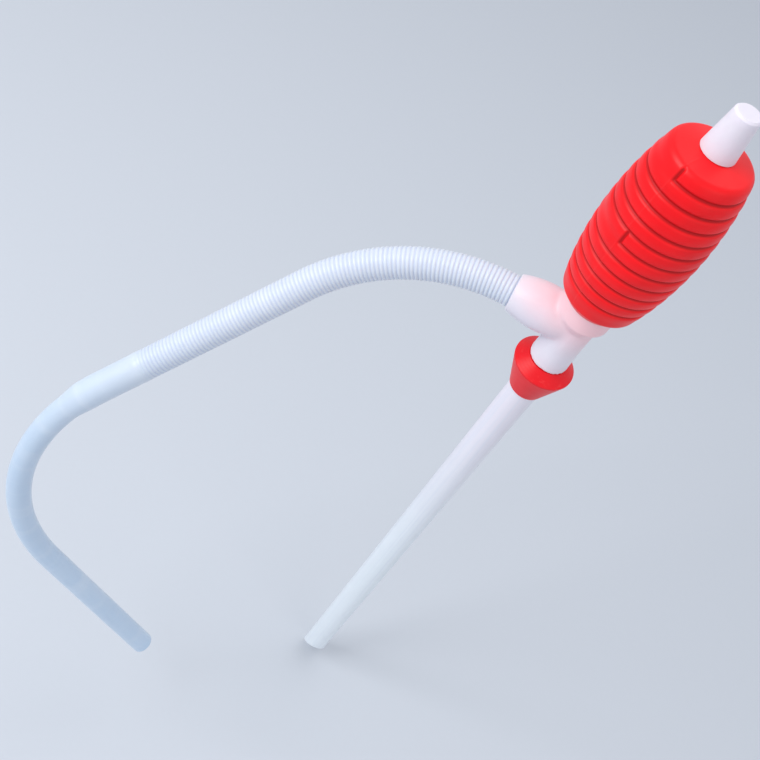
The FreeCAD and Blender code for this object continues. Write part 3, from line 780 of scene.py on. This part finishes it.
class PUMP_OT_discharge_hose(bpy.types.Operator):
    """Build the ringed hose, its cuff and its smooth open end"""

    bl_idname = "pump.discharge_hose"
    bl_label = "Discharge Hose"

    def execute(self, context):
        settings = pump().hose
        line = hose_line(settings, 0.001)
        points, valley, along = hose_surface(settings, line)
        faces = ring_faces(points.shape[0], points.shape[1])
        hose = add_piece("hose_tube", points, faces, {"valley": valley, "along": along})
        hose.data.materials.append(hose_plastic(settings))
        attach(hose, "pump")
        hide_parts("discharge_hose")
        return {"FINISHED"}


class PUMP_OT_tee_moulding(bpy.types.Operator):
    """Build the tee's soft moulded skin"""

    bl_idname = "pump.tee_moulding"
    bl_label = "Tee Moulding"

    def execute(self, context):
        settings = pump().mouldings
        tee = tee_shell(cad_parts["tee_body"], settings)
        # The two numbers say where the painted red reflection starts and where it is at full strength.
        tee.data.materials.append(white_plastic(settings, "tee_white_plastic", 0.046, 0.082))
        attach(tee, "pump")
        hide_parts("tee_body")
        return {"FINISHED"}


class PUMP_OT_rigid_finishes(bpy.types.Operator):
    """Give the carried-over rigid pieces their finishes"""

    bl_idname = "pump.rigid_finishes"
    bl_label = "Rigid Finishes"

    def execute(self, context):
        settings = pump().mouldings
        dress("pickup_pipe", pipe_plastic(settings))
        dress("vent_cap", white_plastic(settings, "cap_white_plastic"))
        dress("container_adapter", adapter_plastic(settings))
        dress("vent_cap_seal", seal_rubber(settings))
        natural = valve_plastic(settings)
        for side in ("inlet", "outlet"):
            for part in ("seat", "disc", "cage"):
                dress(f"{side}_valve_{part}", natural)
        return {"FINISHED"}


class PUMP_OT_stage(bpy.types.Operator):
    """Lay the floor, hang the lights and place the camera"""

    bl_idname = "pump.stage"
    bl_label = "Stage"

    def execute(self, context):
        settings = pump().stage
        level = CAD_BOX[0][2] - settings.floor_gap
        half = settings.floor_size / 2
        sides = ((-half, -half), (half, -half), (half, half), (-half, half))
        corners = np.array([(*side, level) for side in sides])
        floor = add_piece("floor", corners, np.array([[0, 1, 2, 3]]))
        floor.data.materials.append(floor_paper(settings))

        aim = Vector((-0.06, -0.03, 0.0))
        soft_light("key_light", (-1.10, -0.62, 0.95), aim, 0.9, settings.key_power)
        soft_light("fill_light", (0.95, -1.05, 0.55), aim, 1.2, settings.fill_power)
        soft_light("top_light", (0.15, 0.55, 1.35), aim, 1.0, settings.top_power)

        world = bpy.data.worlds.new("studio")
        world.use_nodes = True
        sky = world.node_tree.nodes["Background"]
        sky.inputs["Color"].default_value = (0.93, 0.95, 1.0, 1)
        sky.inputs["Strength"].default_value = settings.sky
        context.scene.world = world

        lens = bpy.data.cameras.new("camera")
        lens.lens = settings.lens
        lens.sensor_width = 36
        lens.clip_start, lens.clip_end = 0.01, 50
        camera = bpy.data.objects.new("camera", lens)
        bpy.context.collection.objects.link(camera)
        camera.matrix_world = camera_matrix(settings)
        context.scene.camera = camera
        context.scene.view_settings.view_transform = "Standard"
        return {"FINISHED"}


def soft_light(name, place, aim, side, power):
    """A square area light that looks at aim."""
    lamp = bpy.data.lights.new(name, "AREA")
    lamp.size = side
    lamp.energy = power
    light = bpy.data.objects.new(name, lamp)
    light.location = place
    light.rotation_euler = (aim - Vector(place)).to_track_quat("-Z", "Y").to_euler()
    bpy.context.collection.objects.link(light)


def camera_matrix(settings):
    """The camera's place and axes. Its line of sight falls below the horizon and turns from +Y towards +X,
    and its right and up are the level ones rolled about that line."""
    fall, turn, roll = settings.camera_fall, settings.camera_turn, settings.camera_roll
    sight = Vector((
        math.sin(turn) * math.cos(fall),
        math.cos(turn) * math.cos(fall),
        -math.sin(fall),
    ))
    level = Vector((math.cos(turn), -math.sin(turn), 0))
    upward = level.cross(sight)
    right = math.cos(roll) * level + math.sin(roll) * upward
    up = -math.sin(roll) * level + math.cos(roll) * upward
    axes = Matrix((right, up, -sight)).transposed()
    return Matrix.Translation(settings.camera_place) @ axes.to_4x4()


class PUMP_PT_panel(bpy.types.Panel):
    """The pump's pieces and their settings"""

    bl_idname = "PUMP_PT_panel"
    bl_label = "Siphon Pump"
    bl_space_type = "VIEW_3D"
    bl_region_type = "UI"
    bl_category = "Siphon Pump"

    def draw(self, context):
        for title, group, operators in SECTIONS:
            box = self.layout.box()
            box.label(text=title)
            settings = getattr(context.scene.siphon_pump, group)
            for name in settings.__annotations__:
                box.prop(settings, name)
            for operator in operators:
                box.operator(operator.bl_idname)


class PumpSettings(bpy.types.PropertyGroup):
    """Everything that a user would change on the pump."""

    bulb: bpy.props.PointerProperty(name="Bulb", description="The squeeze bulb", type=BulbSettings)
    hose: bpy.props.PointerProperty(name="Hose", description="The discharge hose", type=HoseSettings)
    mouldings: bpy.props.PointerProperty(
        name="Mouldings", description="The rigid mouldings", type=MouldingSettings
    )
    stage: bpy.props.PointerProperty(
        name="Stage", description="The floor, lights and camera", type=StageSettings
    )


SECTIONS = (
    ("Squeeze bulb", "bulb", (PUMP_OT_squeeze_bulb,)),
    ("Discharge hose", "hose", (PUMP_OT_discharge_hose,)),
    ("Mouldings", "mouldings", (PUMP_OT_tee_moulding, PUMP_OT_rigid_finishes)),
    ("Stage", "stage", (PUMP_OT_stage,)),
)
CLASSES = (
    BulbSettings,
    HoseSettings,
    MouldingSettings,
    StageSettings,
    PumpSettings,
    PUMP_OT_squeeze_bulb,
    PUMP_OT_discharge_hose,
    PUMP_OT_tee_moulding,
    PUMP_OT_rigid_finishes,
    PUMP_OT_stage,
    PUMP_PT_panel,
)


def register():
    for kind in CLASSES:
        bpy.utils.register_class(kind)
    bpy.types.Scene.siphon_pump = bpy.props.PointerProperty(
        name="Siphon pump", description="Settings of the siphon pump", type=PumpSettings
    )


def unregister():
    del bpy.types.Scene.siphon_pump
    for kind in reversed(CLASSES):
        bpy.utils.unregister_class(kind)


def main():
    register()
    bpy.ops.pump.squeeze_bulb()
    bpy.ops.pump.discharge_hose()
    bpy.ops.pump.tee_moulding()
    bpy.ops.pump.rigid_finishes()
    bpy.ops.pump.stage()


if __name__ == "__main__":
    main()
